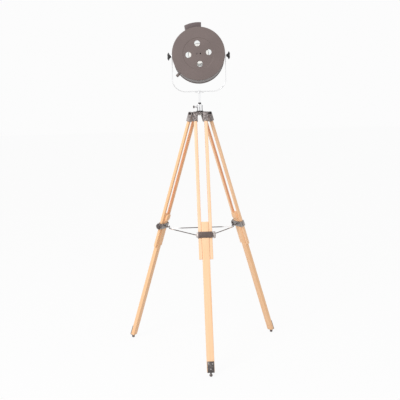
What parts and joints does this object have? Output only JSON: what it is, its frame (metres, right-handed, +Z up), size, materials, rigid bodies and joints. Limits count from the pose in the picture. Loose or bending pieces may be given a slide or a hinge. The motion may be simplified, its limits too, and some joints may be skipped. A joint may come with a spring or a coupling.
{
  "type": "tripod spotlight floor lamp",
  "caption": "Tripod floor lamp with a round drum spotlight in a chrome yoke and telescoping wooden slat legs tied by stay rods.",
  "frame": {"origin": "on the floor, at the centre of the whole lamp's box seen from above; the post's axis stands 105.3 mm in front of it, on +Y", "axes": "+Z up along the post, +Y forward: the lamp head shines that way, turned 3.5 degrees to the right and 3.5 degrees down as in the picture, +X to the lamp's right"},
  "size_m": [0.759, 0.6573, 1.5885],
  "materials": {
    "gunmetal": "satin",
    "black_metal": "satin",
    "chrome": "polished",
    "pale_wood": "satin",
    "taupe_metal": "satin",
    "cowl_metal": "satin",
    "white_metal": "satin",
    "black_plastic": "matte",
    "porcelain": "glossy",
    "rubber": "matte",
    "nickel": "brushed",
    "clear_glass": "polished",
    "frosted_glass": "frosted"
  },
  "bodies": {
    "stand": {"hub": "gunmetal", "hub_nut": "chrome", "leg_pivot_bolts": "black_metal", "leg_pivot_nuts": "black_metal", "post_ring": "black_metal", "post_socket": "chrome", "clamp_boss": "chrome"},
    "clamp_screw": {"clamp_screw": "black_metal"},
    "yoke": {"yoke_stem": "chrome", "yoke": "chrome", "stem_screw": "chrome"},
    "head": {"drum": "taupe_metal", "back_cover": "taupe_metal", "holder_screws": "black_metal", "vent_cowl": "cowl_metal", "bezel": "taupe_metal", "bezel_screws": "chrome", "front_glass": "clear_glass", "glass_gasket": "rubber", "heat_shield": "white_metal", "lamp_holder": "porcelain", "bulb_cap": "nickel", "bulb": "frosted_glass", "cable_gland": "black_plastic", "pivot_studs": "chrome"},
    "left_wing_knob": {"left_wing_knob": "black_plastic"},
    "right_wing_knob": {"right_wing_knob": "black_plastic"},
    "rear_leg": {"rear_leg_caps": "gunmetal", "rear_cap_screws": "nickel", "rear_upper_slats": "pale_wood", "rear_collar": "gunmetal", "rear_collar_eye": "gunmetal"},
    "rear_collar_knob": {"rear_collar_knob": "black_metal"},
    "rear_lower_leg": {"rear_lower_slat": "pale_wood", "rear_stop_block": "pale_wood", "rear_shoe": "gunmetal", "rear_ball_foot": "gunmetal"},
    "rear_stay_rod": {"rear_stay_rod": "nickel"},
    "right_leg": {"right_leg_caps": "gunmetal", "right_cap_screws": "nickel", "right_upper_slats": "pale_wood", "right_collar": "gunmetal", "right_collar_eye": "gunmetal"},
    "right_collar_knob": {"right_collar_knob": "black_metal"},
    "right_lower_leg": {"right_lower_slat": "pale_wood", "right_stop_block": "pale_wood", "right_shoe": "gunmetal", "right_ball_foot": "gunmetal"},
    "right_stay_rod": {"right_stay_rod": "nickel"},
    "left_leg": {"left_leg_caps": "gunmetal", "left_cap_screws": "nickel", "left_upper_slats": "pale_wood", "left_collar": "gunmetal", "left_collar_eye": "gunmetal"},
    "left_collar_knob": {"left_collar_knob": "black_metal"},
    "left_lower_leg": {"left_lower_slat": "pale_wood", "left_stop_block": "pale_wood", "left_shoe": "gunmetal", "left_ball_foot": "gunmetal"},
    "left_stay_rod": {"left_stay_rod": "nickel"}
  },
  "joints": [
    {"name": "head_pan", "type": "hinge", "parent": "stand", "child": "yoke", "pos_m": [0, 0.10525, 1.20858], "axis": [0, 0, 1], "range_deg": [-170, 170]},
    {"name": "head_tilt", "type": "hinge", "parent": "yoke", "child": "head", "pos_m": [0, 0.10525, 1.43628], "axis": [0.9981, -0.061, 0], "range_deg": [-60, 90]},
    {"name": "left_wing_knob_turn", "type": "hinge", "parent": "head", "child": "left_wing_knob", "pos_m": [-0.12976, 0.11319, 1.43628], "axis": [0.9981, -0.061, 0], "range_deg": [-180, 180]},
    {"name": "right_wing_knob_turn", "type": "hinge", "parent": "head", "child": "right_wing_knob", "pos_m": [0.12976, 0.09732, 1.43628], "axis": [0.9981, -0.061, 0], "range_deg": [-180, 180]},
    {"name": "clamp_screw_turn", "type": "hinge", "parent": "stand", "child": "clamp_screw", "pos_m": [-0.02, 0.10525, 1.19558], "axis": [1, 0, 0], "range_deg": [-180, 180]},
    {"name": "rear_leg_fold", "type": "hinge", "parent": "stand", "child": "rear_leg", "pos_m": [0, 0.06965, 1.16458], "axis": [1, 0, 0], "range_deg": [0, 14]},
    {"name": "rear_stay_swing", "type": "hinge", "parent": "rear_leg", "child": "rear_stay_rod", "pos_m": [0.0045, -0.07795, 0.59923], "axis": [-0.866, 0.5, 0], "range_deg": [0, 84]},
    {"name": "rear_leg_extend", "type": "slide", "parent": "rear_leg", "child": "rear_lower_leg", "axis": [0, -0.3156, -0.9489], "range_m": [-0.4, 0.01]},
    {"name": "rear_collar_knob_turn", "type": "hinge", "parent": "rear_leg", "child": "rear_collar_knob", "pos_m": [0.04, -0.11595, 0.60664], "axis": [1, 0, 0], "range_deg": [-180, 180]},
    {"name": "right_leg_fold", "type": "hinge", "parent": "stand", "child": "right_leg", "pos_m": [0.03083, 0.12305, 1.16458], "axis": [-0.5, 0.866, 0], "range_deg": [0, 14]},
    {"name": "right_stay_swing", "type": "hinge", "parent": "right_leg", "child": "right_stay_rod", "pos_m": [0.15641, 0.20075, 0.59923], "axis": [0, -1, 0], "range_deg": [0, 84]},
    {"name": "right_leg_extend", "type": "slide", "parent": "right_leg", "child": "right_lower_leg", "axis": [0.2734, 0.1578, -0.9489], "range_m": [-0.4, 0.01]},
    {"name": "right_collar_knob_turn", "type": "hinge", "parent": "right_leg", "child": "right_collar_knob", "pos_m": [0.17157, 0.25049, 0.60664], "axis": [-0.5, 0.866, 0], "range_deg": [-180, 180]},
    {"name": "left_leg_fold", "type": "hinge", "parent": "stand", "child": "left_leg", "pos_m": [-0.03083, 0.12305, 1.16458], "axis": [-0.5, -0.866, 0], "range_deg": [0, 14]},
    {"name": "left_stay_swing", "type": "hinge", "parent": "left_leg", "child": "left_stay_rod", "pos_m": [-0.16091, 0.19296, 0.59923], "axis": [0.866, 0.5, 0], "range_deg": [0, 84]},
    {"name": "left_leg_extend", "type": "slide", "parent": "left_leg", "child": "left_lower_leg", "axis": [-0.2734, 0.1578, -0.9489], "range_m": [-0.4, 0.01]},
    {"name": "left_collar_knob_turn", "type": "hinge", "parent": "left_leg", "child": "left_collar_knob", "pos_m": [-0.21157, 0.18121, 0.60664], "axis": [-0.5, -0.866, 0], "range_deg": [-180, 180]}
  ],
  "couplings": [
    {"joint": "rear_stay_swing", "follows": "rear_leg_fold", "ratio": 6},
    {"joint": "right_leg_fold", "follows": "rear_leg_fold", "ratio": 1},
    {"joint": "right_stay_swing", "follows": "rear_leg_fold", "ratio": 6},
    {"joint": "left_leg_fold", "follows": "rear_leg_fold", "ratio": 1},
    {"joint": "left_stay_swing", "follows": "rear_leg_fold", "ratio": 6}
  ]
}
